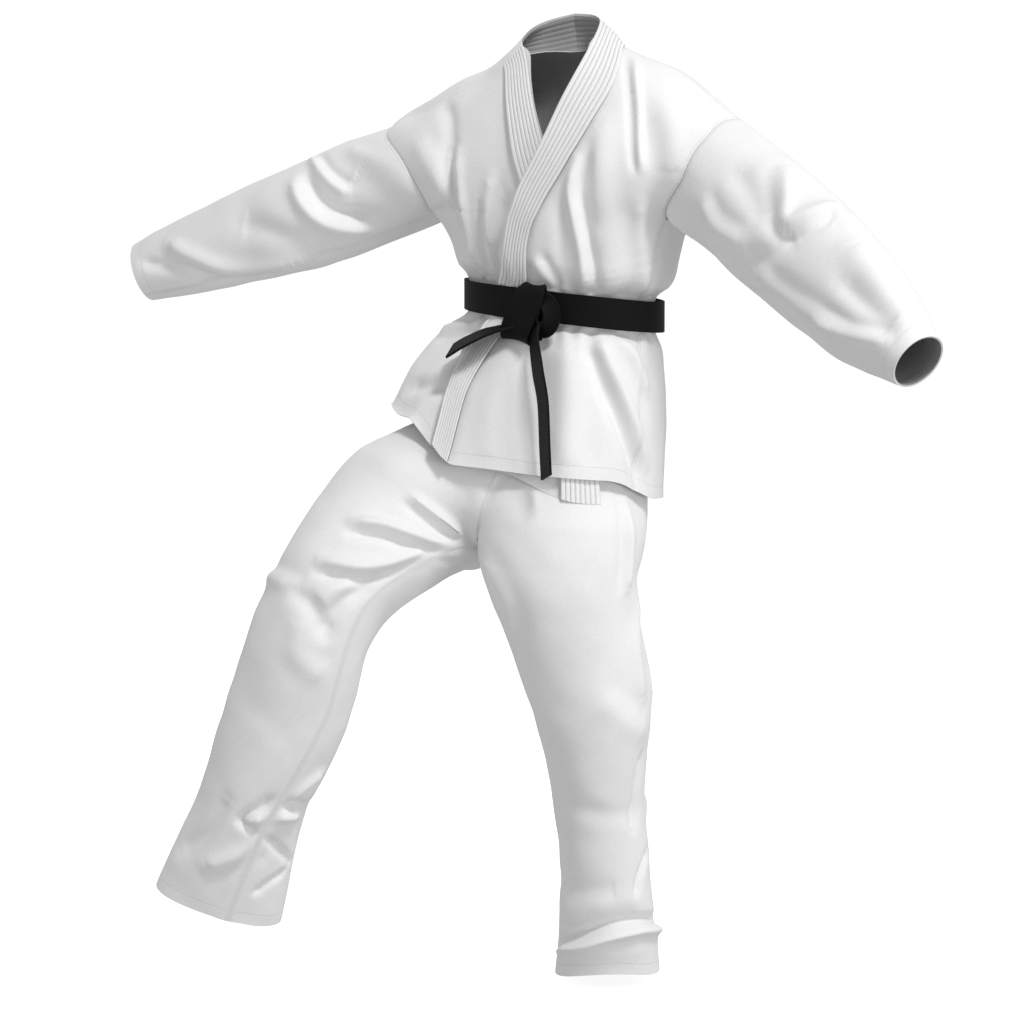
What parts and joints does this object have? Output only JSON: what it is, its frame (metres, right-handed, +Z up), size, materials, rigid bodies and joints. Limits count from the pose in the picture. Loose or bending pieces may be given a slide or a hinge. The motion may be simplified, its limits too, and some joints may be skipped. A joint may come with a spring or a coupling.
{
  "type": "martial arts uniform",
  "caption": "White wrapped karate jacket with ribbed lapel, wide trousers and a knotted black belt, posed as worn in a forward stance.",
  "frame": {"origin": "centre of the neck opening, level with the seam of the collar, where the wearer's neck holds the jacket", "axes": "+Z up; the front of the jacket faces -Y; the wearer's left is +X"},
  "size_m": [1.359, 0.4623, 1.452],
  "materials": {
    "white_cotton": "matte woven cotton, bleached white",
    "lining_cotton": "matte woven cotton",
    "black_belt_cotton": "matte black cotton with rows of stitching"
  },
  "bodies": {
    "jacket_and_seat": {"jacket_front_left": "white_cotton", "jacket_front_right": "white_cotton", "jacket_back_left": "white_cotton", "jacket_back_right": "white_cotton", "side_panel_left": "white_cotton", "side_panel_right": "white_cotton", "lapel_left": "white_cotton", "lapel_right": "white_cotton", "trouser_seat_front": "white_cotton", "trouser_seat_back": "white_cotton", "trouser_waistband": "lining_cotton", "crotch_gusset": "white_cotton", "belt_inner_turn": "black_belt_cotton", "belt_outer_turn": "black_belt_cotton", "belt_knot_core": "black_belt_cotton", "belt_knot_wrap": "black_belt_cotton"},
    "left_upper_sleeve": {"sleeve_head_left": "white_cotton", "upper_sleeve_left": "white_cotton"},
    "left_lower_sleeve": {"elbow_left": "white_cotton", "lower_sleeve_left": "white_cotton", "cuff_hem_left": "white_cotton"},
    "left_thigh": {"trouser_hip_left": "white_cotton", "thigh_left": "white_cotton"},
    "left_shin": {"knee_left": "white_cotton", "shin_left": "white_cotton", "trouser_hem_left": "white_cotton"},
    "right_upper_sleeve": {"sleeve_head_right": "white_cotton", "upper_sleeve_right": "white_cotton"},
    "right_lower_sleeve": {"elbow_right": "white_cotton", "lower_sleeve_right": "white_cotton", "cuff_hem_right": "white_cotton"},
    "right_thigh": {"trouser_hip_right": "white_cotton", "thigh_right": "white_cotton"},
    "right_shin": {"knee_right": "white_cotton", "shin_right": "white_cotton", "trouser_hem_right": "white_cotton"},
    "belt_long_end": {"belt_tail_long": "black_belt_cotton"},
    "belt_short_end": {"belt_tail_short": "black_belt_cotton"}
  },
  "joints": [
    {"name": "left_shoulder_raise", "type": "hinge", "parent": "jacket_and_seat", "child": "left_upper_sleeve", "pos_m": [0.246, 0, -0.188], "axis": [0, -1, 0], "range_deg": [-18, 25], "deforming": ["sleeve_head_left"]},
    {"name": "left_elbow_bend", "type": "hinge", "parent": "left_upper_sleeve", "child": "left_lower_sleeve", "pos_m": [0.395, -0.05, -0.292], "axis": [0, 0, -1], "range_deg": [-8, 30], "deforming": ["elbow_left"]},
    {"name": "left_hip_swing", "type": "hinge", "parent": "jacket_and_seat", "child": "left_thigh", "pos_m": [0.082, -0.006, -0.575], "axis": [-1, 0, 0], "range_deg": [-12, 10], "deforming": ["trouser_hip_left"]},
    {"name": "left_knee_bend", "type": "hinge", "parent": "left_thigh", "child": "left_shin", "pos_m": [0.073, -0.042, -0.955], "axis": [1, 0, 0], "range_deg": [-8, 25], "deforming": ["knee_left"]},
    {"name": "right_shoulder_raise", "type": "hinge", "parent": "jacket_and_seat", "child": "right_upper_sleeve", "pos_m": [-0.254, 0, -0.178], "axis": [0, 1, 0], "range_deg": [-18, 25], "deforming": ["sleeve_head_right"]},
    {"name": "right_elbow_bend", "type": "hinge", "parent": "right_upper_sleeve", "child": "right_lower_sleeve", "pos_m": [-0.409, -0.058, -0.244], "axis": [0, 0, 1], "range_deg": [-8, 30], "deforming": ["elbow_right"]},
    {"name": "right_hip_swing", "type": "hinge", "parent": "jacket_and_seat", "child": "right_thigh", "pos_m": [-0.09, -0.012, -0.57], "axis": [-1, 0, 0], "range_deg": [-22, 10], "deforming": ["trouser_hip_right"]},
    {"name": "right_knee_bend", "type": "hinge", "parent": "right_thigh", "child": "right_shin", "pos_m": [-0.262, -0.243, -0.822], "axis": [1, 0, 0], "range_deg": [-20, 20], "deforming": ["knee_right"]},
    {"name": "belt_long_end_swing", "type": "hinge", "parent": "jacket_and_seat", "child": "belt_long_end", "pos_m": [0.042, -0.15, -0.424], "axis": [-1, 0, 0], "range_deg": [0, 50]},
    {"name": "belt_short_end_swing", "type": "hinge", "parent": "jacket_and_seat", "child": "belt_short_end", "pos_m": [-0.02, -0.145, -0.41], "axis": [0, 0, 1], "range_deg": [0, 45]}
  ]
}
